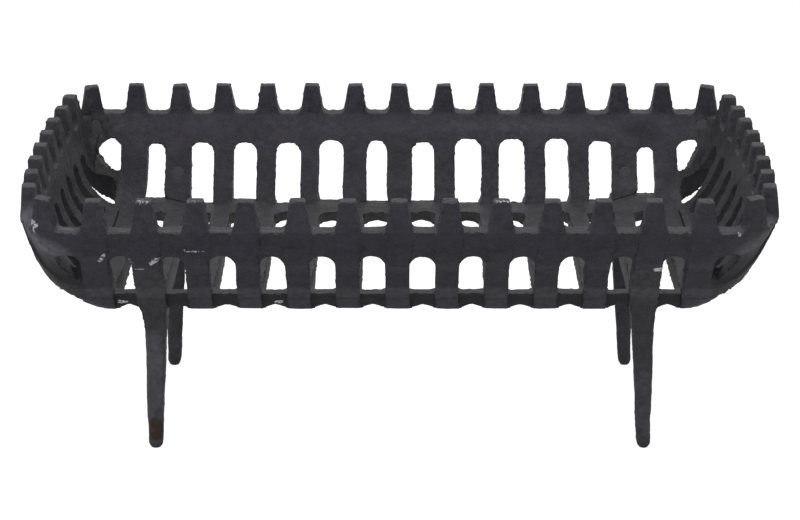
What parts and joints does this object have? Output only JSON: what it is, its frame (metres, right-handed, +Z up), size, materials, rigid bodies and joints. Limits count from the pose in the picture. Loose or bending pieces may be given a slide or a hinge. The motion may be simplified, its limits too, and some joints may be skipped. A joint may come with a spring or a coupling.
{
  "type": "fireplace log grate",
  "caption": "Cast-iron basket log grate: a slotted trough with a toothed rim on four tapered legs, built up from side castings round a bottom grate.",
  "frame": {"origin": "on the ground under the middle of the basket", "axes": "+X along the length to the right end, +Y to the back, +Z up out of the trough"},
  "size_m": [0.455, 0.2628, 0.1789],
  "materials": {
    "cast_iron_floor": "matt black, sand-cast",
    "cast_iron_walls": "matt black, sand-cast",
    "cast_iron_ends": "matt black, sand-cast",
    "cast_iron_legs": "matt black, sand-cast",
    "filed_rivets": "hammered and filed flush, blacked"
  },
  "bodies": {
    "root": {"bottom_grate": "cast_iron_floor", "front_wall": "cast_iron_walls", "back_wall": "cast_iron_walls", "left_end": "cast_iron_ends", "right_end": "cast_iron_ends", "front_left_leg": "cast_iron_legs", "front_right_leg": "cast_iron_legs", "back_left_leg": "cast_iron_legs", "back_right_leg": "cast_iron_legs", "front_left_leg_rivet": "filed_rivets", "front_right_leg_rivet": "filed_rivets", "back_left_leg_rivet": "filed_rivets", "back_right_leg_rivet": "filed_rivets", "front_left_corner_rivet": "filed_rivets", "front_right_corner_rivet": "filed_rivets", "back_left_corner_rivet": "filed_rivets", "back_right_corner_rivet": "filed_rivets"}
  },
  "joints": []
}
